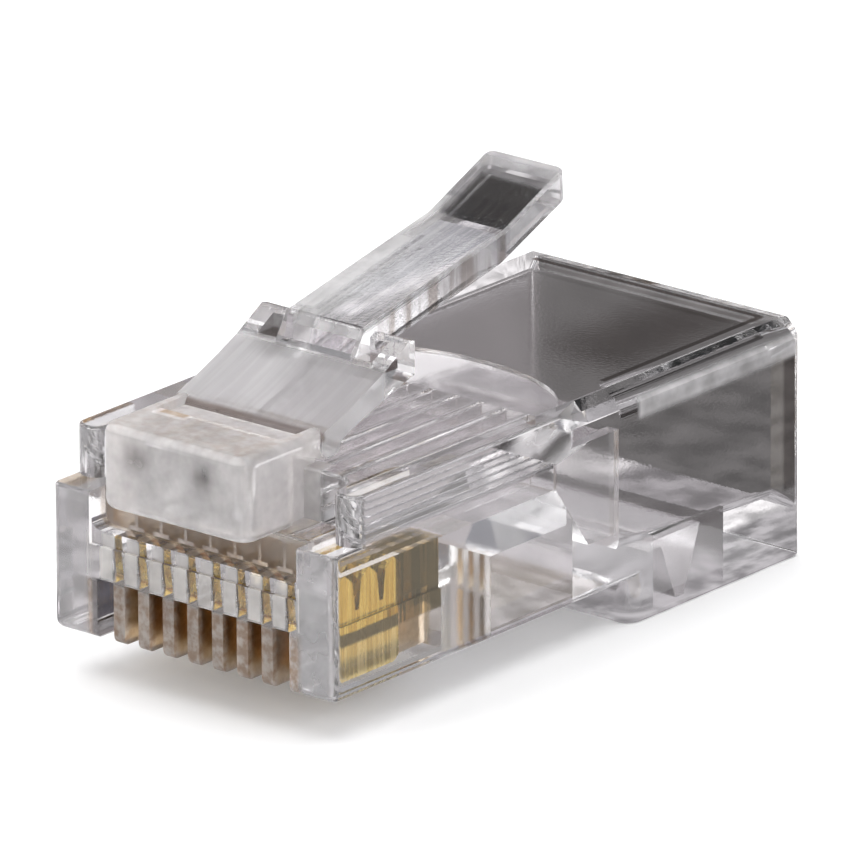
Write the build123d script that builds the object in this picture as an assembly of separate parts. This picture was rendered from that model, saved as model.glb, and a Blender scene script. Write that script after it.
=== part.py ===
"""Eight-position modular plug (8P8C) in clear polycarbonate, with its latch and eight contact blades.

Millimetres. X runs across the plug, Y from the nose to the cable end and Z up towards the latch.
Every shape is drawn with Y measured from the nose face, and moved once at the end so that the
origin is under the middle of the whole plug, on the plane that the cable end stands on.
"""

import os
from math import cos, radians, sin

from build123d import *

# Outer body
body_width = 11.68
body_length = 23.45  # nose face to cable end
nose_height = 6.60  # tips of the comb to the flat top
shoulder_drop = 1.50  # the cable end stands this much lower than the comb
shoulder_y = 14.70  # where the body steps down
ledge_height = 4.90  # tips of the comb to the ledge above the contacts
ledge_depth = 1.05  # the upper body is set back by this much
corner_radius = 0.30  # upright edges of the nose
upper_corner_radius = 0.50
front_recess_wall = 1.09  # between these side walls, the upper body is set back further
front_recess_y = 2.40
front_recess_radius = 0.75
shoulder_radius = 0.60
rear_corner_radius = 0.25
lower_edge_radius = 0.32
edge_radius = 0.12  # every other outer edge is broken by this much
cut_margin = 1.0  # cutters reach this far past the faces that they open
seam_overlap = 0.10  # cutters and webs that meet run this far into each other

# Sloping shoulders along both top edges of the cable end
bevel_width = 0.60
bevel_height = 0.60
bevel_start_y = 10.60
bevel_full_y = 12.60

# Contacts, their slots and the comb that parts them
contact_count = 8
contact_pitch = 1.02
blade_thickness = 0.30
blade_clearance = 0.03  # each side, in the narrow part of the slot
blade_front_y = 1.25
blade_front_lean = 0.27  # the front edge leans forward by this much at its top
blade_length = 3.15
blade_low_height = 0.08  # above the tips of the comb
blade_body_height = 2.30
prong_height = 1.28
prong_point_height = 0.32
prong_gap = 0.42
prong_gap_foot = 0.17
prong_count = 3
blade_corner_radius = 0.35
comb_slot_width = 0.57
comb_slot_height = 2.05
comb_mouth_chamfer = 0.09
end_slot_extra = 0.12  # the two outer slots are wider towards the side walls
slot_rear_y = 6.20

# Recess under the overhanging block, in front of the wire channels
trough_half_width = 4.28
trough_depth = 0.80
trough_floor_height = 3.65
lip_height = 3.16  # the front wall is thinner above this
lip_setback = 0.12
trough_radius = 0.35

# Wire channels
channel_width = 0.90
channel_height = 0.90
channel_floor_height = 3.75
channel_roof_radius = 0.16
channel_front_y = 0.95
channel_rear_y = 11.90

# Chamber for the parted wires, and the cavity for the cable jacket
chamber_width = 8.60
chamber_roof_z = 6.70
chamber_floor_z = 3.00
chamber_ramp_y = 13.40
cavity_width = 9.50
cavity_roof_z = 7.20
cavity_floor_z = 2.10
cavity_floor_rise = 0.40
cavity_roof_radius = 0.35
cavity_floor_radius = 0.40
mouth_depth = 0.95
mouth_flare = 0.55
mouth_roof_flare = 0.28

# Half-round tongue in the roof that funnels the wires into the chamber
tongue_front_y = 11.60
tongue_length = 2.80
tongue_half_width = 4.90

# Openings in the underside and the two strain relief bars that are pushed in through them
wire_bar_front_y = 8.55
wire_bar_length = 4.10
wire_bar_width = 8.40
wire_pocket_height = 2.45
wire_bar_slit = 0.30
jacket_bar_front_y = 16.25
jacket_bar_length = 3.60
jacket_bar_width = 10.20
jacket_bar_mid_y = 17.85
jacket_bar_top = 2.10
jacket_bar_foot = 0.40
jacket_bar_foot_z = 0.06
bar_side_gap = 0.20
bar_web = 0.30

# Block on the nose that carries the latch
latch_width = 6.10
block_overhang = 0.95
block_height = 2.85  # above the ledge
block_corner_radius = 0.60
block_edge_radius = 0.32
block_recess_depth = 0.28
block_recess_margin = 0.50
block_recess_front_y = 1.35
block_rear_gap = 0.25  # the block ends this far ahead of the bend
block_notch_depth = 0.45  # both sides of the block are cut in behind this Y, under a sloping web
block_notch_y = 1.35
block_notch_rear_y = 2.86
block_notch_roof = 0.40  # below the block's top
block_notch_rear_roof = 0.94

# Latch: a wide sprung plate that ends in two locking ears, and a narrow lever
hinge_y = 3.20
hinge_height = 0.68  # above the flat top
hinge_radius = 0.50
hinge_clearance = 0.05
plate_mid = (4.60, 1.74)
plate_crease = (5.85, 2.30)
ear_top = (7.10, 3.02)
ear_back = (7.34, 2.95)
ear_foot = (7.34, 1.83)
under_mid = (6.06, 1.48)
under_front = (4.14, 0.80)
lever_width = 3.24
lever_foot = (5.65, 1.90)
lever_front_top = (6.50, 3.24)
lever_bend = (13.60, 4.68)
lever_tip_top = (16.70, 6.03)
lever_tip_foot = (16.74, 4.93)
lever_under_bend = (13.95, 3.77)
lever_under_front = (7.30, 2.38)
lever_chamfer = 0.10
lever_tip_radius = 0.35
lever_front_radius = 0.35
root_angle = 62  # degrees; the plate meets the round root over this much of its side
pocket_front_y = 6.05
pocket_rear_y = 6.85
pocket_width = 0.75
pocket_floor = 2.10

# Levels and positions that follow from the sizes above
comb_z = shoulder_drop
top_z = comb_z + nose_height
ledge_z = comb_z + ledge_height
half_width = body_width / 2
channel_floor_z = comb_z + channel_floor_height
comb_roof_z = comb_z + comb_slot_height
narrow_slot_width = blade_thickness + 2 * blade_clearance
hinge_z = top_z + hinge_height
block_top_z = ledge_z + block_height
blade_root_z = comb_z + blade_low_height + blade_body_height
blade_shoulder_z = blade_root_z + prong_height - prong_point_height
shift_y = block_overhang / 2 - body_length / 2
TINY = 0.01  # tolerance for picking edges by where they are


def side_prism(outline, width):
    """A prism across the plug, from an outline of (Y, Z) points."""
    wire = Polyline(*[(0, y, z) for y, z in outline], close=True)
    return extrude(make_face(wire), amount=width / 2, dir=(1, 0, 0), both=True)


def block(x0, x1, y0, y1, z0, z1):
    """A box given by its two corners."""
    centre = Pos((x0 + x1) / 2, (y0 + y1) / 2, (z0 + z1) / 2)
    return centre * Box(x1 - x0, y1 - y0, z1 - z0)


def upright_edges(shape, y, z_low, z_high):
    """The upright edges on both flanks at one Y, between two levels."""
    found = shape.edges().filter_by(Axis.Z)
    return [
        e for e in found
        if abs(e.center().Y - y) < TINY and z_low - TINY < e.center().Z < z_high + TINY
    ]


def rim_edges(shape, level):
    """The edges that lie flat at one level."""
    return [
        e for e in shape.edges()
        if abs(e.bounding_box().min.Z - level) < TINY and abs(e.bounding_box().max.Z - level) < TINY
    ]


def contact_x(index):
    """Centre of one contact position across the plug, counted from zero."""
    return (index - (contact_count - 1) / 2) * contact_pitch


def section(y, width, floor, roof, roof_radius, floor_radius):
    """A cross-section of the cable cavity, with a rounder roof than floor."""
    plane = Plane(origin=(0, y, 0), x_dir=(1, 0, 0), z_dir=(0, -1, 0))
    outline = Pos(0, (floor + roof) / 2) * Rectangle(width, roof - floor)
    corners = outline.vertices().sort_by(Axis.Y)
    outline = fillet(corners[2:], roof_radius)
    outline = fillet(outline.vertices().sort_by(Axis.Y)[:2], floor_radius)
    return plane * outline


def outer_body():
    """The stepped outside of the housing, before anything is cut from it."""
    body = side_prism(
        [
            (0, comb_z), (shoulder_y, comb_z), (shoulder_y, 0), (body_length, 0),
            (body_length, top_z), (ledge_depth, top_z), (ledge_depth, ledge_z), (0, ledge_z),
        ],
        body_width,
    )
    body = fillet(upright_edges(body, 0, comb_z, ledge_z), corner_radius)
    body -= front_recess()
    body = fillet(upright_edges(body, ledge_depth, ledge_z, top_z), upper_corner_radius)
    body = fillet(upright_edges(body, shoulder_y, 0, comb_z), shoulder_radius)
    body = fillet(upright_edges(body, body_length, 0, top_z), rear_corner_radius)
    body = fillet(rim_edges(body, top_z), edge_radius)
    body = fillet(rim_edges(body, 0), edge_radius)
    ledge = [e for e in rim_edges(body, ledge_z) if e.center().Y < ledge_depth / 2]
    body = fillet(ledge, edge_radius)
    long_low = [
        e for e in rim_edges(body, comb_z)
        if e.geom_type == GeomType.LINE and abs(abs(e.center().X) - half_width) < TINY
    ]
    return fillet(long_low, lower_edge_radius)


def front_recess():
    """Cutter that sets the upper body back between its two front corners."""
    reach = body_width / 2 - front_recess_wall
    cut = block(-reach, reach, -cut_margin, front_recess_y, ledge_z, top_z + cut_margin)
    return fillet(upright_edges(cut, front_recess_y, ledge_z, top_z + cut_margin), front_recess_radius)


def top_bevels():
    """Cutters for the sloping shoulders along the top edges of the cable end."""
    slope = bevel_height / bevel_width
    cutters = []
    for side in (-1, 1):
        inner = side * (half_width - bevel_width)
        outer = side * (half_width + cut_margin)
        low = top_z - bevel_height - cut_margin * slope
        high = top_z + cut_margin
        start = [(inner, high), (outer, high), (outer, low), (inner, top_z)]
        full = make_face(Polyline(*[(x, bevel_full_y, z) for x, z in start], close=True))
        cutters.append(extrude(full, amount=body_length, dir=(0, 1, 0)))
        lift = bevel_height + edge_radius
        lifted = [(x, z + lift) for x, z in start]
        early = make_face(Polyline(*[(x, bevel_start_y, z) for x, z in lifted], close=True))
        cutters.append(loft([early, full], ruled=True))
    return cutters


def contact_slots():
    """Cutters for the comb and for the narrow slots that grip the blades."""
    cutters = []
    for i in range(contact_count):
        x = contact_x(i)
        left = right = comb_slot_width / 2
        if i == 0:
            left += end_slot_extra
        if i == contact_count - 1:
            right += end_slot_extra
        mouth = comb_mouth_chamfer
        outline = [
            (x - left - mouth, comb_z), (x - left, comb_z + mouth), (x - left, comb_roof_z),
            (x + right, comb_roof_z), (x + right, comb_z + mouth), (x + right + mouth, comb_z),
            (x + right + mouth, comb_z - cut_margin), (x - left - mouth, comb_z - cut_margin),
        ]
        wire = Polyline(*[(across, -cut_margin, level) for across, level in outline], close=True)
        cutters.append(extrude(make_face(wire), amount=slot_rear_y + cut_margin, dir=(0, 1, 0)))
        front = blade_front_y - blade_clearance
        low, high = comb_roof_z - seam_overlap, channel_floor_z + seam_overlap
        leaning = front - blade_front_lean
        narrow = side_prism(
            [
                (front, low), (slot_rear_y, low), (slot_rear_y, high),
                (leaning, high), (leaning, blade_shoulder_z), (front, comb_roof_z),
            ],
            narrow_slot_width,
        )
        cutters.append(Pos(x, 0, 0) * narrow)
    return cutters


def wire_channels():
    """Cutters for the eight flat-floored channels that lead the wires over the blades."""
    plane = Plane(origin=(0, channel_front_y, 0), x_dir=(1, 0, 0), z_dir=(0, -1, 0))
    outline = Rectangle(channel_width, channel_height)
    outline = fillet(outline.vertices().sort_by(Axis.Y)[2:], channel_roof_radius)
    level = channel_floor_z + channel_height / 2
    length = channel_rear_y - channel_front_y
    return [
        extrude(plane * Pos(contact_x(i), level) * outline, amount=length, dir=(0, 1, 0))
        for i in range(contact_count)
    ]


def cable_cavity():
    """Cutters for the wire chamber, the jacket cavity and its flared mouth."""
    front = channel_rear_y - seam_overlap
    rear = shoulder_y + seam_overlap
    chamber = side_prism(
        [
            (front, channel_floor_z), (chamber_ramp_y, chamber_floor_z), (rear, chamber_floor_z),
            (rear, chamber_roof_z), (front, channel_floor_z + channel_height),
        ],
        chamber_width,
    )
    mouth_y = body_length - mouth_depth
    inner = section(
        shoulder_y, cavity_width, cavity_floor_z + cavity_floor_rise, cavity_roof_z,
        cavity_roof_radius, cavity_floor_radius,
    )
    outer = section(
        mouth_y, cavity_width, cavity_floor_z, cavity_roof_z, cavity_roof_radius, cavity_floor_radius
    )
    flare = section(
        body_length, cavity_width + 2 * mouth_flare, cavity_floor_z - mouth_flare,
        cavity_roof_z + mouth_roof_flare, cavity_roof_radius, cavity_floor_radius,
    )
    return [chamber, roof_step(), loft([inner, outer], ruled=True), loft([outer, flare], ruled=True)]


def roof_step():
    """Cutter for the step in the roof, which leaves the half-round tongue standing."""
    low = chamber_roof_z - seam_overlap
    step = block(
        -cavity_width / 2, cavity_width / 2, tongue_front_y, shoulder_y + seam_overlap,
        low, cavity_roof_z,
    )
    tongue = Pos(0, tongue_front_y, low) * Ellipse(tongue_half_width, tongue_length)
    return step - extrude(tongue, amount=cavity_roof_z)


def underside_openings():
    """Cutters below the two strain relief bars."""
    rear = wire_bar_front_y + wire_bar_length
    wire_pocket = block(
        -wire_bar_width / 2, wire_bar_width / 2, wire_bar_front_y, rear,
        comb_z - seam_overlap, comb_z + wire_pocket_height,
    )
    wire_slit = block(
        -wire_bar_width / 2, wire_bar_width / 2, rear - wire_bar_slit, rear,
        comb_z + wire_pocket_height - seam_overlap, channel_floor_z,
    )
    jacket_pocket = block(
        -jacket_bar_width / 2, jacket_bar_width / 2, jacket_bar_front_y,
        jacket_bar_front_y + jacket_bar_length,
        -seam_overlap, cavity_floor_z + cavity_floor_rise + seam_overlap,
    )
    return [wire_pocket, wire_slit, jacket_pocket]


def jacket_bar():
    """The wedge that clamps the cable jacket, still held by its thin moulded web."""
    floor = cavity_floor_z + cavity_floor_rise / 2
    width = jacket_bar_width - 2 * bar_side_gap
    wedge = side_prism(
        [
            (jacket_bar_mid_y - jacket_bar_top / 2, floor), (jacket_bar_mid_y + jacket_bar_top / 2, floor),
            (jacket_bar_mid_y + jacket_bar_foot / 2, jacket_bar_foot_z),
            (jacket_bar_mid_y - jacket_bar_foot / 2, jacket_bar_foot_z),
        ],
        width,
    )
    web = block(
        -width / 2, width / 2, jacket_bar_front_y - seam_overlap, jacket_bar_mid_y,
        floor - bar_web, floor,
    )
    return wedge + web


def nose_block():
    """The rounded block over the nose, which carries the root of the latch."""
    rear_y = hinge_y - block_rear_gap
    body = block(-latch_width / 2, latch_width / 2, -block_overhang, rear_y, ledge_z, block_top_z)
    body = fillet(upright_edges(body, -block_overhang, ledge_z, block_top_z), block_corner_radius)
    rims = [e for e in rim_edges(body, block_top_z) if e.center().Y < rear_y - TINY]
    feet = [e for e in rim_edges(body, ledge_z) if e.center().Y < -block_overhang + TINY]
    body = fillet(rims + feet, block_edge_radius)
    recess_x = latch_width / 2 - block_recess_margin
    recess = block(
        -recess_x, recess_x, block_recess_front_y, rear_y + cut_margin,
        block_top_z - block_recess_depth, block_top_z + cut_margin,
    )
    body -= recess
    roof_z = block_top_z - block_notch_roof
    rear_roof_z = block_top_z - block_notch_rear_roof
    notch = side_prism(
        [
            (block_notch_y, ledge_z - cut_margin), (block_notch_y, roof_z),
            (block_notch_rear_y, rear_roof_z), (rear_y + cut_margin, rear_roof_z),
            (rear_y + cut_margin, ledge_z - cut_margin),
        ],
        2 * block_notch_depth,
    )
    for side in (-1, 1):
        body -= Pos(side * latch_width / 2, 0, 0) * notch
    return body


def hinge_bar(radius, width):
    """A round bar across the plug, on the line that the latch bends about."""
    return Pos(0, hinge_y, hinge_z) * Rot(0, 90, 0) * Cylinder(radius, width)


def trough():
    """Cutter for the recess under the overhanging block."""
    floor = comb_z + trough_floor_height
    cut = block(
        -trough_half_width, trough_half_width, -cut_margin, trough_depth, floor, ledge_z + cut_margin
    )
    lower = cut.edges().filter_by(Axis.Y).group_by(Axis.Z)[0]
    cut = fillet(lower, trough_radius)
    cut = cut & block(-body_width, body_width, -cut_margin, trough_depth, floor - cut_margin, ledge_z)
    lip = block(
        -trough_half_width, trough_half_width, -cut_margin, lip_setback, comb_z + lip_height, ledge_z
    )
    return cut + lip


def make_housing():
    """The moulded housing, as one solid."""
    body = outer_body()
    for cutter in top_bevels():
        body -= cutter
    body -= trough()
    body += nose_block()
    body -= hinge_bar(hinge_radius + hinge_clearance, body_width)
    for cutter in cable_cavity() + wire_channels() + contact_slots() + underside_openings():
        body -= cutter
    return body + jacket_bar()


def above_top(point):
    """A point of the latch outline, given as its Y and its height above the flat top."""
    return (0, point[0], top_z + point[1])


def is_lever_rim(edge):
    """True for the long edges of the lever's top, which run on round its tip."""
    start, end = edge.position_at(0), edge.position_at(1)
    if abs(start.X - end.X) > TINY:
        return False
    low, high = sorted((start, end), key=lambda p: p.Y)
    first = top_z + lever_front_top[1] - lever_front_radius
    bend = top_z + lever_bend[1] - TINY
    return low.Z > first and high.Y > lever_front_top[0] + lever_front_radius and high.Z > bend


def make_plate():
    """The wide sprung plate with its locking ears, pocketed on both sides of the lever."""
    angle = radians(root_angle)
    root_high = (hinge_y - hinge_radius * cos(angle), hinge_height + hinge_radius * sin(angle))
    root_low = (root_high[0], hinge_height - hinge_radius * sin(angle))
    outline = [
        ThreePointArc(above_top(root_high), above_top(plate_mid), above_top(plate_crease)),
        Polyline(above_top(plate_crease), above_top(ear_top), above_top(ear_back), above_top(ear_foot)),
        Polyline(above_top(ear_foot), above_top(under_mid), above_top(under_front), above_top(root_low)),
        Line(above_top(root_low), above_top(root_high)),
    ]
    plate = extrude(make_face(outline), amount=latch_width / 2, dir=(1, 0, 0), both=True)
    for side in (-1, 1):
        inner, outer = sorted((side * lever_width / 2, side * (lever_width / 2 + pocket_width)))
        plate -= block(
            inner, outer, pocket_front_y, pocket_rear_y,
            top_z + pocket_floor, top_z + ear_top[1] + cut_margin,
        )
    return plate


def make_latch():
    """The sprung latch: wide plate, locking ears and lever, as one solid."""
    lever_points = [
        lever_foot, lever_front_top, lever_bend, lever_tip_top,
        lever_tip_foot, lever_under_bend, lever_under_front,
    ]
    lever = side_prism([(y, top_z + height) for y, height in lever_points], lever_width)
    across = lever.edges().filter_by(Axis.X).sort_by(Axis.Z)
    front_edge = across.sort_by(Axis.Y)[:2].sort_by(Axis.Z)[-1]
    lever = fillet(front_edge, lever_front_radius)
    tip_sides = [
        e for e in lever.edges()
        if abs(abs(e.center().X) - lever_width / 2) < TINY and e.center().Y > lever_tip_top[0] - TINY
    ]
    lever = fillet(tip_sides, lever_tip_radius)
    upper = [
        e for e in lever.edges()
        if abs(abs(e.center().X) - lever_width / 2) < TINY and is_lever_rim(e)
    ]
    lever = chamfer(upper, lever_chamfer)
    return make_plate() + hinge_bar(hinge_radius, latch_width) + lever


def make_contact(index):
    """One gold plated blade: a contact edge below and three piercing prongs above."""
    low_z = comb_z + blade_low_height
    tip_z = blade_shoulder_z + prong_point_height
    rear_y = blade_front_y + blade_length
    prong = (blade_length - (prong_count - 1) * prong_gap) / prong_count
    points = [(rear_y, low_z), (blade_front_y, low_z), (blade_front_y, comb_roof_z)]
    for i in range(prong_count):
        y = blade_front_y + i * (prong + prong_gap)
        points.append((y - blade_front_lean if i == 0 else y, blade_shoulder_z))
        points.append((y + prong / 2, tip_z))
        points.append((y + prong, blade_shoulder_z))
        if i < prong_count - 1:
            middle = y + prong + prong_gap / 2
            points.append((middle - prong_gap_foot / 2, blade_root_z))
            points.append((middle + prong_gap_foot / 2, blade_root_z))
    blade = side_prism(points, blade_thickness)
    low_corners = blade.edges().filter_by(Axis.X).group_by(Axis.Z)[0]
    blade = fillet(low_corners, blade_corner_radius)
    return Pos(contact_x(index), 0, 0) * blade


def main():
    """Write one file per piece."""
    os.makedirs("parts", exist_ok=True)
    pieces = {"housing": make_housing(), "latch": make_latch()}
    for i in range(contact_count):
        pieces[f"contact_{i + 1}"] = make_contact(i)
    for name, shape in pieces.items():
        export_step(Pos(0, shift_y, 0) * shape, f"parts/{name}.step")


main()
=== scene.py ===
"""Looks of the clear modular plug: camera, studio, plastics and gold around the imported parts."""

import math

import bpy
from mathutils import Matrix, Vector

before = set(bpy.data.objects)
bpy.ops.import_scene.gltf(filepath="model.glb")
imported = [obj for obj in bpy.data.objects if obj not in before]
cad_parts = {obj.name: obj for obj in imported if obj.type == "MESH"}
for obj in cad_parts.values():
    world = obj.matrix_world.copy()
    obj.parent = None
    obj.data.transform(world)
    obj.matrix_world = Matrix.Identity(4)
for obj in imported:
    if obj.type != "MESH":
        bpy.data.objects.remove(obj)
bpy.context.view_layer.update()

MM = 0.001

# Camera: a long lens, nearly without perspective
CAMERA_AZIMUTH = math.radians(39.755)
CAMERA_ELEVATION = math.radians(19.226)
CAMERA_ROLL = math.radians(-0.323)
CAMERA_DISTANCE = 0.5
CAMERA_TARGET = Vector((1.302, -1.25, 7.08)) * MM
SENSOR_WIDTH = 36.0
FOCAL_PIXELS = 15709.1
IMAGE_WIDTH = 853

# Studio
TOP_SOFTBOX = {"place": (0.0, 0.0, 0.40), "size": 0.60, "radiance": 2.4}
LEFT_SOFTBOX = {"place": (-0.12, -0.28, 0.16), "size": 0.14, "radiance": 5.0}
FLOOR_HALF_SIZE = 1.5
FLOOR_COLOUR = (0.86, 0.86, 0.86)
FLOOR_GLOW = 0.16
ROOM_COLOUR = (0.30, 0.30, 0.31)
FAR_BROWN = (0.016, 0.012, 0.010)
MIDDLE_BROWN = (0.026, 0.020, 0.018)
NEAR_GREY = (0.150, 0.144, 0.144)
LEVER_GREY = (0.52, 0.52, 0.54)
GLOW_GREY = (0.46, 0.43, 0.44)
DIM_GREY = (0.18, 0.17, 0.17)
LEFT_GREY = (0.42, 0.40, 0.41)
FRONT_GREY = (0.20, 0.20, 0.23)
WARM_PAPER = (1.0, 0.89, 0.68)
# Painted shadow under the plug: a grey card that refractions see there, with a lighter patch
UNDER_SHADOW_GREY = (0.42, 0.405, 0.42)
UNDER_WHITE = (0.86, 0.84, 0.85)
# Cards that stand behind the plug: two points on the floor and two heights, in millimetres
CARD_LEFT = (-110, 10)
CARD_MIDDLE = (-37.6, 51.8)
CARD_RIGHT = (20, 85)
CARD_SPLIT = 16
CARD_TOP = 60
# Painted patches on a floor card: two corners and a soft edge, in millimetres
BEHIND_PATCHES = [
    ((-60, 31), (30, 90), FAR_BROWN, 0.1),
    ((-12.6, 21), (-8.8, 31), MIDDLE_BROWN, 0.9),
    ((-27, 21), (-18.5, 31.5), LEVER_GREY, 0.6),
]
UNDER_PATCHES = [((-7.5, 6.5), (-1.6, 13), UNDER_WHITE, 0.5)]
FLOOR_CARDS = [  # name, x from and to, y from and to in millimetres, colour, mottle and patches
    ("behind_card", (-60, 30), (12.4, 90), NEAR_GREY, 0.30, BEHIND_PATCHES),
    # painted shadow: a grey card under the plug, which refractions see
    ("under_shadow_card", (-7, 7), (-3, 12.4), UNDER_SHADOW_GREY, 0.45, UNDER_PATCHES),
    ("left_card", (-20, -12.8), (2, 12.4), LEFT_GREY, 0.30, ()),
    ("front_card", (-12.8, -8), (-14, -1), FRONT_GREY, 0.30, ()),
    ("right_card", (8, 18), (-6, 6), WARM_PAPER, 0.0, ()),
]
# A card that the plug's top mirrors towards the camera, with its measures in millimetres
STREAK_CARD = {
    "direction": (-0.604, 0.54, 0.586), "distance": 100, "width": 60, "height": 22, "strength": 2.2,
}
MOTTLE_SCALE = 700.0
CARD_LIFT = 0.05  # millimetres above the floor
WHITE = (1.0, 1.0, 1.0)

# Materials
PLASTIC_IOR = 1.58
PLASTIC_TINT = (0.93, 0.915, 0.925)
CLEAR_ROUGHNESS = 0.025
CONTACT_PITCH = 1.02  # millimetres, as are the window sizes
WINDOW_WIDTH = 0.60
WINDOW_EDGE = 0.08  # the soft edge of a window, as a share of the pitch
FLOW_SCALE = 420.0  # noise scales, in turns per metre
CLOUD_SCALE = 700.0
GRAIN_SCALE = 9000.0
GOLD_MOTTLE_SCALE = 900.0
STAMPING_SCALE = 2600.0
PATTERNS = {  # noise scale, detail, stretch, and the two levels between which a tint changes
    "streak": (2600.0, 2.0, (0.3, 1.0, 0.07), 0.38, 0.62),
    "brush": (3000.0, 3.0, (1.0, 0.05, 0.05), 0.40, 0.60),
    "stripe": (5500.0, 0.0, (0.0, 1.0, 0.03), 0.44, 0.54),
    "blotch": (3600.0, 6.0, (1.0, 1.0, 1.0), 0.32, 0.68),
}
GOLD_DEEP = (0.52, 0.34, 0.06)
GOLD_BRIGHT = (0.82, 0.63, 0.19)
FOOT_DEEP = (0.48, 0.35, 0.11)
FOOT_PALE = (0.86, 0.70, 0.34)
# Painted shadow under the slot's ledge: a dark band on the flanks below the bright gold
SHADOW_BAND_DARK = (0.07, 0.055, 0.030)
# Painted shade on the other faces below the shadow line, mottled from dark to bronze
LOWER_SHADE_DARK = (0.26, 0.15, 0.06)
LOWER_SHADE_BRONZE = (0.56, 0.40, 0.16)
SHADOW_LINE_EDGE = (3.16, 3.24)  # heights in millimetres between which the bright gold ends, at a painted shadow line
SHADOW_BAND_EDGE = (2.72, 2.84)  # and those between which the painted dark shadow band under it ends


def to_tuple(colour):
    return (*colour, 1.0)


def add_camera():
    """The camera at the photograph's viewing angle."""
    a, e, r = CAMERA_AZIMUTH, CAMERA_ELEVATION, CAMERA_ROLL
    back = Vector((math.sin(a) * math.cos(e), -math.cos(a) * math.cos(e), math.sin(e)))
    right = Vector((math.cos(a), math.sin(a), 0))
    up = back.cross(right)
    rolled_right = math.cos(r) * right + math.sin(r) * up
    rolled_up = back.cross(rolled_right)
    data = bpy.data.cameras.new("camera")
    data.sensor_width = SENSOR_WIDTH
    data.lens = FOCAL_PIXELS / IMAGE_WIDTH * SENSOR_WIDTH
    data.clip_start = 0.01
    camera = bpy.data.objects.new("camera", data)
    bpy.context.scene.collection.objects.link(camera)
    turn = Matrix((rolled_right, rolled_up, back)).transposed().to_4x4()
    camera.matrix_world = Matrix.Translation(CAMERA_TARGET + back * CAMERA_DISTANCE) @ turn
    bpy.context.scene.camera = camera


MIX_FIRST, MIX_SECOND, MIX_RESULT = 6, 7, 2  # the colour sockets of a Mix node


class Nodes:
    """A short way to write a shader tree."""

    def __init__(self, owner):
        owner.use_nodes = True
        self.tree = owner.node_tree
        self.tree.nodes.clear()

    def add(self, kind, inputs=None, **settings):
        """A new node; an input is a constant, or the output of another node."""
        node = self.tree.nodes.new(kind)
        for name, value in settings.items():
            setattr(node, name, value)
        for name, value in (inputs or {}).items():
            if isinstance(value, bpy.types.NodeSocket):
                self.tree.links.new(value, node.inputs[name])
            else:
                node.inputs[name].default_value = value
        return node

    def math(self, operation, first, second=0.0):
        return self.add("ShaderNodeMath", {0: first, 1: second}, operation=operation).outputs[0]

    def ramp(self, value, low, high, start=0.0, end=1.0):
        """A smooth change from start to end while value goes from low to high."""
        inputs = {"Value": value, "From Min": low, "From Max": high, "To Min": start, "To Max": end}
        node = self.add("ShaderNodeMapRange", inputs, interpolation_type="SMOOTHSTEP")
        return node.outputs["Result"]

    def noise(self, scale, detail=2.0, stretch=(1, 1, 1)):
        """Noise over the object's own coordinates, stretched along an axis where wanted."""
        place = self.add("ShaderNodeTexCoord").outputs["Object"]
        moved = self.add("ShaderNodeMapping", {"Vector": place, "Scale": stretch}).outputs[0]
        inputs = {"Vector": moved, "Scale": scale, "Detail": detail}
        return self.add("ShaderNodeTexNoise", inputs).outputs[0]

    def zone(self, low, high, soft=0.15):
        """1 inside a box given in millimetres, 0 outside, with a soft edge."""
        place = self.add("ShaderNodeTexCoord").outputs["Object"]
        axes = self.add("ShaderNodeSeparateXYZ", {0: place}).outputs
        total = 1.0
        for axis, first, last in zip(axes, low, high):
            rise = self.ramp(axis, (first - soft) * MM, (first + soft) * MM)
            fall = self.ramp(axis, (last - soft) * MM, (last + soft) * MM, 1.0, 0.0)
            total = self.math("MULTIPLY", total, self.math("MULTIPLY", rise, fall))
        return total

    def windows(self, pitch, start, width):
        """1 in evenly spaced strips across the plug, given in millimetres, 0 between them."""
        place = self.add("ShaderNodeTexCoord").outputs["Object"]
        across = self.add("ShaderNodeSeparateXYZ", {0: place}).outputs["X"]
        moved = self.math("SUBTRACT", across, start * MM)
        turn = self.math("FRACT", self.math("DIVIDE", moved, pitch * MM))
        share = width / pitch
        rise = self.ramp(turn, 0.0, WINDOW_EDGE)
        fall = self.ramp(turn, share - WINDOW_EDGE, share, 1.0, 0.0)
        return self.math("MULTIPLY", rise, fall)

    def mix_colour(self, factor, first, second):
        """A colour between two others; each is a constant, or the output of another node."""
        inputs = {0: factor, MIX_FIRST: first, MIX_SECOND: second}
        return self.add("ShaderNodeMix", inputs, data_type="RGBA").outputs[MIX_RESULT]

    def seen_directly(self):
        """1 for what the camera, a reflection or a refraction sees."""
        path = self.add("ShaderNodeLightPath").outputs
        either = self.math("MAXIMUM", path["Is Camera Ray"], path["Is Glossy Ray"])
        return self.math("MAXIMUM", either, path["Is Transmission Ray"])

    def finish(self, shader):
        output = self.add("ShaderNodeOutputMaterial")
        self.tree.links.new(shader, output.inputs["Surface"])


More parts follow.
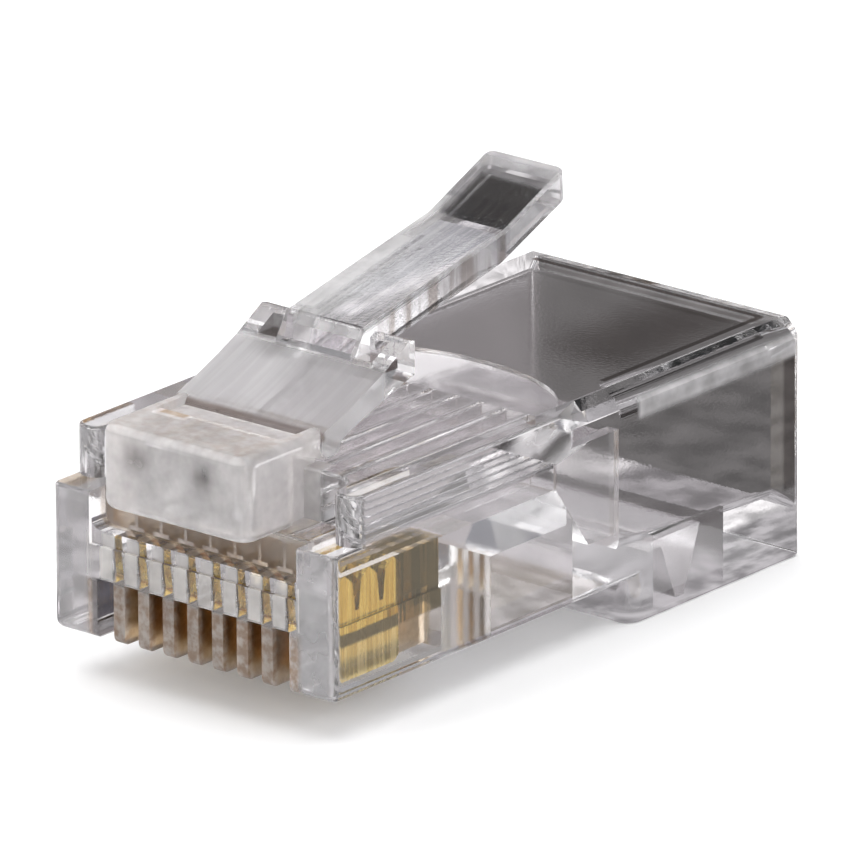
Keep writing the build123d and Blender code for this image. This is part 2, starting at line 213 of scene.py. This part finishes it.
def plastic(name, satin_zones, milk_zones, tint_zones, window_zones=()):
    """Clear polycarbonate that turns satin, milky or tinted inside the given zones."""
    material = bpy.data.materials.new(name)
    nodes = Nodes(material)
    flow = nodes.noise(FLOW_SCALE, 4.0, (1.0, 0.35, 1.0))
    rough = nodes.ramp(flow, 0.3, 0.8, CLEAR_ROUGHNESS * 0.5, CLEAR_ROUGHNESS * 1.6)
    for low, high, amount in satin_zones:
        rough = nodes.math("MAXIMUM", rough, nodes.math("MULTIPLY", nodes.zone(low, high), amount))
    tint = to_tuple(PLASTIC_TINT)
    patterns = {
        key: nodes.ramp(nodes.noise(scale, detail, stretch), low, high)
        for key, (scale, detail, stretch, low, high) in PATTERNS.items()
    }
    for low, high, colour, other, soft, pattern in tint_zones:
        streaked = nodes.mix_colour(patterns[pattern], to_tuple(colour), to_tuple(other))
        tint = nodes.mix_colour(nodes.zone(low, high, soft), tint, streaked)
    grain = nodes.noise(GRAIN_SCALE, 2.0)
    relief = nodes.math("ADD", 0.05, nodes.math("MULTIPLY", rough, 0.35))
    bump = nodes.add("ShaderNodeBump", {"Strength": relief, "Distance": 0.02 * MM, "Height": grain})
    glass = nodes.add("ShaderNodeBsdfPrincipled", {
        "Base Color": tint, "Roughness": rough, "IOR": PLASTIC_IOR,
        "Transmission Weight": 1.0, "Normal": bump.outputs[0],
    })
    milk = 0.0
    for low, high, amount in milk_zones:
        milk = nodes.math("MAXIMUM", milk, nodes.math("MULTIPLY", nodes.zone(low, high), amount))
    for low, high, amount, start in window_zones:
        strips = nodes.windows(CONTACT_PITCH, start, WINDOW_WIDTH)
        inside = nodes.math("MULTIPLY", nodes.zone(low, high, 0.05), amount)
        milk = nodes.math("MAXIMUM", milk, nodes.math("MULTIPLY", inside, strips))
    cloud = nodes.ramp(nodes.noise(CLOUD_SCALE, 3.0), 0.3, 0.75, 0.6, 1.25)
    amount = nodes.math("MULTIPLY", milk, cloud)
    scatter = nodes.add("ShaderNodeBsdfTranslucent", {"Color": tint})
    chalk = nodes.add("ShaderNodeBsdfDiffuse", {"Color": tint})
    body = nodes.add("ShaderNodeMixShader", {0: 0.45, 1: scatter.outputs[0], 2: chalk.outputs[0]})
    mix = nodes.add("ShaderNodeMixShader", {0: amount, 1: glass.outputs[0], 2: body.outputs[0]})
    nodes.finish(mix.outputs[0])
    return material


def gold():
    """Gold with stamping lines, bright above a painted shadow line: below it, the flanks have a
    painted dark shadow band and a paler foot, and the other faces a mottled painted shade.
    """
    material = bpy.data.materials.new("gold_contact")
    nodes = Nodes(material)
    place = nodes.add("ShaderNodeTexCoord").outputs["Object"]
    height = nodes.add("ShaderNodeSeparateXYZ", {0: place}).outputs["Z"]
    gold_mottle = nodes.noise(GOLD_MOTTLE_SCALE, 5.0)
    edge = nodes.math("ADD", height, nodes.math("MULTIPLY", gold_mottle, 0.12 * MM))
    # painted shade: the bright gold ends at a painted shadow line, with a painted dark shadow band
    # on the flanks under it
    lit_share = nodes.ramp(edge, SHADOW_LINE_EDGE[0] * MM, SHADOW_LINE_EDGE[1] * MM)
    below_band = nodes.ramp(edge, SHADOW_BAND_EDGE[0] * MM, SHADOW_BAND_EDGE[1] * MM, 1.0, 0.0)
    lines = nodes.noise(STAMPING_SCALE, 3.0, (1.0, 3.0, 0.12))
    line_share = nodes.ramp(lines, 0.3, 0.7)
    bright = nodes.mix_colour(line_share, to_tuple(GOLD_DEEP), to_tuple(GOLD_BRIGHT))
    pale = nodes.mix_colour(line_share, to_tuple(FOOT_DEEP), to_tuple(FOOT_PALE))
    flank = nodes.mix_colour(below_band, to_tuple(SHADOW_BAND_DARK), pale)
    # painted shade, mottled from dark to bronze, on the lower faces that don't face sideways
    shade_mottle = nodes.ramp(gold_mottle, 0.35, 0.65)
    lower_shade = nodes.mix_colour(shade_mottle, to_tuple(LOWER_SHADE_DARK), to_tuple(LOWER_SHADE_BRONZE))
    facing = nodes.add("ShaderNodeNewGeometry").outputs["Normal"]
    sideways = nodes.add("ShaderNodeSeparateXYZ", {0: facing}).outputs["X"]
    on_flank = nodes.ramp(nodes.math("ABSOLUTE", sideways), 0.4, 0.6)
    lower = nodes.mix_colour(on_flank, lower_shade, flank)
    colour = nodes.mix_colour(lit_share, lower, bright)
    rough = nodes.ramp(lines, 0.25, 0.75, 0.16, 0.34)
    bump = nodes.add("ShaderNodeBump", {"Strength": 0.25, "Distance": 0.01 * MM, "Height": lines})
    shader = nodes.add("ShaderNodeBsdfPrincipled", {
        "Base Color": colour, "Metallic": 1.0, "Roughness": rough, "Normal": bump.outputs[0],
    })
    nodes.finish(shader.outputs[0])
    return material


def stage_mesh(name, corners):
    """A flat four-cornered piece of the studio."""
    mesh = bpy.data.meshes.new(name)
    mesh.from_pydata(corners, [], [(0, 1, 2, 3)])
    piece = bpy.data.objects.new(name, mesh)
    bpy.context.scene.collection.objects.link(piece)
    return piece


def add_floor():
    """A plain pale floor that reads as white, and still takes the plug's shadow."""
    s = FLOOR_HALF_SIZE
    floor = stage_mesh("floor", [(-s, -s, 0), (s, -s, 0), (s, s, 0), (-s, s, 0)])
    material = bpy.data.materials.new("floor")
    nodes = Nodes(material)
    paper = nodes.add("ShaderNodeBsdfDiffuse", {"Color": to_tuple(FLOOR_COLOUR)})
    level = nodes.math("MULTIPLY", nodes.seen_directly(), FLOOR_GLOW)
    glow = nodes.add("ShaderNodeEmission", {"Color": to_tuple(WHITE), "Strength": level})
    both = nodes.add("ShaderNodeAddShader", {0: paper.outputs[0], 1: glow.outputs[0]})
    nodes.finish(both.outputs[0])
    floor.data.materials.append(material)


def add_card(name, corners, colour, strength=1.0, mottle=0.0, patches=()):
    """A studio card outside the view, which the plastic mirrors; its corners are in millimetres."""
    card = stage_mesh(name, [Vector(c) * MM for c in corners])
    material = bpy.data.materials.new(name)
    nodes = Nodes(material)
    level = strength
    if mottle:
        level = nodes.ramp(nodes.noise(MOTTLE_SCALE, 5.0), 0.3, 0.7, 1.0 - mottle, 1.0 + mottle)
    paint = to_tuple(colour)
    for (x0, y0), (x1, y1), patch, soft in patches:
        inside = nodes.zone((x0, y0, -1), (x1, y1, 1), soft)
        paint = nodes.mix_colour(inside, paint, to_tuple(patch))
    glow = nodes.add("ShaderNodeEmission", {"Color": paint, "Strength": level})
    nodes.finish(glow.outputs[0])
    card.data.materials.append(material)
    card.visible_camera = False
    card.visible_diffuse = False
    card.visible_shadow = False


def add_standing_card(name, first, last, low, high, colour):
    """A card that stands between two points of the floor plan, from one height to another."""
    corners = [(*first, low), (*last, low), (*last, high), (*first, high)]
    add_card(name, corners, colour)


def add_floor_card(name, x_range, y_range, colour, mottle, patches):
    """A card that lies on the floor, with softly painted patches."""
    (x0, x1), (y0, y1), z = x_range, y_range, CARD_LIFT
    corners = [(x0, y0, z), (x1, y0, z), (x1, y1, z), (x0, y1, z)]
    add_card(name, corners, colour, 1.0, mottle, patches)


def add_facing_card(name, direction, distance, width, height, colour, strength):
    """A card that faces the plug from one direction."""
    normal = Vector(direction).normalized()
    across = normal.cross(Vector((0, 0, 1))).normalized() * width / 2
    rise = across.cross(normal).normalized() * height / 2
    middle = normal * distance
    low, high = middle - rise, middle + rise
    add_card(name, [low - across, low + across, high + across, high - across], colour, strength)


def add_softbox(name, place, size, radiance):
    """A square area light aimed at the plug, given by the brightness of its face."""
    data = bpy.data.lights.new(name, "AREA")
    data.size = size
    data.energy = radiance * math.pi * size * size
    light = bpy.data.objects.new(name, data)
    bpy.context.scene.collection.objects.link(light)
    turn = (-Vector(place)).to_track_quat("-Z", "Y").to_matrix().to_4x4()
    light.matrix_world = Matrix.Translation(place) @ turn


def add_room():
    """The dim, even light of the room around the softboxes."""
    world = bpy.data.worlds.new("room")
    nodes = Nodes(world)
    light = nodes.add("ShaderNodeBackground", {"Color": to_tuple(ROOM_COLOUR)})
    output = nodes.add("ShaderNodeOutputWorld")
    nodes.tree.links.new(light.outputs[0], output.inputs["Surface"])
    bpy.context.scene.world = world


def add_studio():
    add_room()
    add_floor()
    add_softbox("top_softbox", **TOP_SOFTBOX)
    add_softbox("left_softbox", **LEFT_SOFTBOX)
    add_standing_card("back_card", CARD_LEFT, CARD_RIGHT, CARD_LIFT, CARD_SPLIT, FAR_BROWN)
    add_standing_card("glow_card", CARD_LEFT, CARD_MIDDLE, CARD_SPLIT, CARD_TOP, GLOW_GREY)
    add_standing_card("dim_card", CARD_MIDDLE, CARD_RIGHT, CARD_SPLIT, CARD_TOP, DIM_GREY)
    for row in FLOOR_CARDS:
        add_floor_card(*row)
    add_facing_card("streak_card", colour=WHITE, **STREAK_CARD)


# Painted reflection of the gold contacts: tan to brown in the comb and on the rib faces
COMB_GOLD_REFLECTION_DARK = (0.46, 0.30, 0.15)
COMB_GOLD_REFLECTION_BROWN = (0.72, 0.52, 0.32)
RIB_REFLECTION_BROWN = (0.56, 0.39, 0.27)
RIB_REFLECTION_WHITE = (0.99, 0.91, 0.84)
TROUGH_BROWN = (0.60, 0.46, 0.34)
TROUGH_GREY = (0.74, 0.64, 0.54)
# Two dark streaked patches on the front of the block
BLOCK_DARK_PATCH = (0.03, 0.025, 0.022)
BLOCK_PATCH_EDGE = (0.42, 0.39, 0.38)
BLOCK_GREY = (0.93, 0.90, 0.90)
BLOCK_WHITE = (1.0, 0.98, 0.97)
BLOCK_HAZE = (0.84, 0.77, 0.73)
WALL_WHITE = (0.97, 0.95, 0.93)
WALL_DARK = (0.30, 0.28, 0.28)
CREASE_BROWN = (0.30, 0.24, 0.21)
# Painted reflection of the gold contacts in stripes on the empty slots, with painted shade between
# them
SLOT_GOLD_REFLECTION = (0.50, 0.32, 0.12)
SLOT_SHADE_BROWN = (0.030, 0.018, 0.007)
# Painted reflection: dark lines along the rear body's top edges, in place of what rounded edges
# refract
EDGE_REFRACTION_BROWN = (0.05, 0.035, 0.030)
# Painted reflection: a dark strip down the right side at the rear
MOUTH_REFLECTION_BROWN = (0.14, 0.11, 0.11)
PLATE_GREY = (0.88, 0.86, 0.87)
PLATE_WHITE = (1.0, 0.99, 0.99)
LEVER_SHADE = (0.62, 0.61, 0.64)
LEVER_LINE = (0.20, 0.19, 0.20)
# Painted shade in the pockets beside the lever, also a painted dark reflection on the lever's right
# side
POCKET_SHADE = (0.20, 0.17, 0.16)

# Zones of the plastics: two corners in millimetres, in the frame's own axes
BLOCK = ((-3.3, -12.4, 6.3), (3.3, -8.1, 9.5))
COMB = ((-3.5, -11.5, 1.2), (3.5, -4.9, 3.6))
TROUGH = ((-4.3, -10.7, 5.0), (4.3, -10.1, 6.4))
RIB_FACES = ((-4.4, -11.5, 1.2), (4.4, -11.1, 3.5))
FRONT_WALL = ((-4.4, -11.5, 3.6), (4.4, -11.1, 5.1))
LEFT_PILLAR = ((-6.0, -11.5, 1.2), (-4.2, -11.1, 6.6))
RIGHT_PILLAR = ((4.2, -11.5, 1.2), (6.0, -11.1, 6.6))
BLOCK_EDGE = ((-3.1, -12.4, 9.0), (3.1, -11.9, 9.4))
BLOCK_CORNER = ((2.8, -12.4, 6.4), (3.3, -11.9, 9.4))
CHAMBER = ((-4.5, 0.4, 2.9), (4.5, 3.6, 6.9))
WIRE_POCKET = ((-4.5, -3.0, 1.3), (4.5, 1.6, 4.2))
JACKET_POCKET = ((-5.3, 4.8, -0.2), (5.3, 8.8, 2.3))
SIDE_BAND = ((5.7, 3.9, 6.95), (6.0, 12.0, 7.7))
EMPTY_SLOTS = ((2.6, -7.1, 2.9), (4.1, -4.95, 5.3))
LEFT_MARK = ((-2.45, -10.45, 9.1), (-1.0, -9.4, 9.4))
RIGHT_MARK = ((1.2, -10.0, 9.1), (2.2, -9.5, 9.4))
# A satin or milk row is a zone and an amount. A tint row is a zone, the two colours that its
# pattern mixes, the soft edge in millimetres and the pattern's name.
HOUSING_SATIN = [
    (*BLOCK, 0.20),
    (*COMB, 0.30),
    (*TROUGH, 0.30),
    (*WIRE_POCKET, 0.07),
    (*CHAMBER, 0.10),
    (*JACKET_POCKET, 0.16),
]
HOUSING_MILK = [
    (*BLOCK, 0.46),
    (*BLOCK_EDGE, 0.80),
    (*BLOCK_CORNER, 0.70),
    (*LEFT_MARK, 0.90),
    (*RIGHT_MARK, 0.85),
    (*RIB_FACES, 0.46),
    (*LEFT_PILLAR, 0.20),
    (*RIGHT_PILLAR, 0.30),
    (*TROUGH, 0.22),
    (*CHAMBER, 0.08),
    (*SIDE_BAND, 0.75),
]
HOUSING_WINDOWS = [(*FRONT_WALL, 0.80, 0.20)]  # an amount, and where the first strip starts
HOUSING_TINTS = [
    (*BLOCK, BLOCK_GREY, BLOCK_WHITE, 0.15, "blotch"),
    ((-2.8, -12.0, 8.9), (2.8, -9.0, 9.5), BLOCK_HAZE, BLOCK_WHITE, 0.2, "blotch"),
    # painted reflection of the gold contacts on the comb and the rib faces
    ((-4.4, -11.1, 1.2), (3.5, -4.9, 3.6), COMB_GOLD_REFLECTION_DARK, COMB_GOLD_REFLECTION_BROWN, 0.10, "blotch"),
    ((-4.4, -11.6, 1.2), (4.4, -11.0, 3.5), RIB_REFLECTION_BROWN, RIB_REFLECTION_WHITE, 0.15, "blotch"),
    (*TROUGH, TROUGH_BROWN, TROUGH_GREY, 0.12, "streak"),
    (*FRONT_WALL, WALL_WHITE, WALL_WHITE, 0.12, "blotch"),
    ((-4.2, -11.4, 1.2), (-3.85, -9.5, 3.6), WALL_DARK, WALL_DARK, 0.10, "blotch"),
    # painted reflection of the gold contacts in stripes, with painted shade between them
    (*EMPTY_SLOTS, SLOT_SHADE_BROWN, SLOT_GOLD_REFLECTION, 0.06, "stripe"),
    # two dark streaked patches on the front of the block
    ((-1.9, -12.7, 8.0), (-1.0, -11.9, 8.75), BLOCK_DARK_PATCH, BLOCK_PATCH_EDGE, 0.45, "streak"),
    ((0.8, -12.7, 7.9), (1.7, -11.9, 8.75), BLOCK_DARK_PATCH, BLOCK_PATCH_EDGE, 0.45, "streak"),
    ((-2.2, -10.2, 9.1), (-1.2, -9.7, 9.4), TROUGH_BROWN, TROUGH_GREY, 0.06, "blotch"),
    # painted reflection: dark lines along the right and rear top edges
    ((4.60, 3.4, 8.0), (4.84, 11.6, 8.2), EDGE_REFRACTION_BROWN, EDGE_REFRACTION_BROWN, 0.04, "blotch"),
    ((-4.75, 11.4, 8.0), (4.75, 11.65, 8.2), EDGE_REFRACTION_BROWN, EDGE_REFRACTION_BROWN, 0.04, "blotch"),
    # painted reflection: a dark strip down the right side at the rear
    ((5.7, 11.3, 2.4), (5.9, 11.95, 6.9), MOUTH_REFLECTION_BROWN, MOUTH_REFLECTION_BROWN, 0.12, "blotch"),
]
PLATE = ((-3.2, -8.6, 8.2), (3.2, -5.3, 10.6))
LEVER = ((-1.7, -4.6, 9.9), (1.7, 3.4, 14.2))
LEVER_TIP = ((-1.8, 5.10, 12.8), (1.8, 5.6, 14.3))
LATCH_SATIN = [(*PLATE, 0.28)]
LATCH_MILK = [
    (*PLATE, 0.12),
    ((-3.2, -8.6, 8.2), (0.2, -5.3, 10.6), 0.42),
    ((-1.8, 0.5, 9.9), (-1.42, 5.6, 14.3), 0.45),
    ((-1.55, -4.3, 9.9), (-0.80, 0.8, 13.0), 0.60),
    ((-1.8, 0.5, 9.9), (-1.3, 3.2, 14.3), 0.60),
    (*LEVER_TIP, 0.45),
]
LATCH_TINTS = [
    (*PLATE, PLATE_GREY, PLATE_WHITE, 0.15, "brush"),
    (*LEVER, LEVER_SHADE, PLASTIC_TINT, 0.1, "brush"),
    # painted highlight: the lever's left strip made white
    ((-1.75, -4.3, 9.9), (-0.80, 3.2, 14.3), PLATE_WHITE, PLATE_WHITE, 0.08, "brush"),
    ((-0.72, -4.3, 9.9), (-0.56, 1.0, 13.0), LEVER_LINE, LEVER_SHADE, 0.05, "blotch"),
    # painted dark reflection on the lever's right side face
    ((1.5, -4.0, 9.9), (1.8, 2.6, 13.2), POCKET_SHADE, LEVER_SHADE, 0.06, "streak"),
    ((-3.2, -8.65, 8.9), (3.2, -8.35, 9.5), CREASE_BROWN, CREASE_BROWN, 0.08, "blotch"),
    # painted shade in the two pockets beside the lever
    ((-2.5, -5.3, 10.1), (-1.6, -4.3, 10.5), POCKET_SHADE, POCKET_SHADE, 0.06, "blotch"),
    ((1.6, -5.3, 10.1), (2.5, -4.3, 10.5), POCKET_SHADE, POCKET_SHADE, 0.06, "blotch"),
]


def dress(name, material):
    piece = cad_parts[name]
    piece.data.materials.clear()
    piece.data.materials.append(material)


def dress_all():
    housing = plastic("clear_housing", HOUSING_SATIN, HOUSING_MILK, HOUSING_TINTS, HOUSING_WINDOWS)
    dress("housing", housing)
    dress("latch", plastic("clear_latch", LATCH_SATIN, LATCH_MILK, LATCH_TINTS))
    metal = gold()
    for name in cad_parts:
        if name.startswith("contact_"):
            dress(name, metal)


add_camera()
add_studio()
dress_all()
cycles = bpy.context.scene.cycles
cycles.max_bounces = 24
cycles.transmission_bounces = 24
cycles.glossy_bounces = 12
bpy.context.scene.view_settings.view_transform = "Standard"
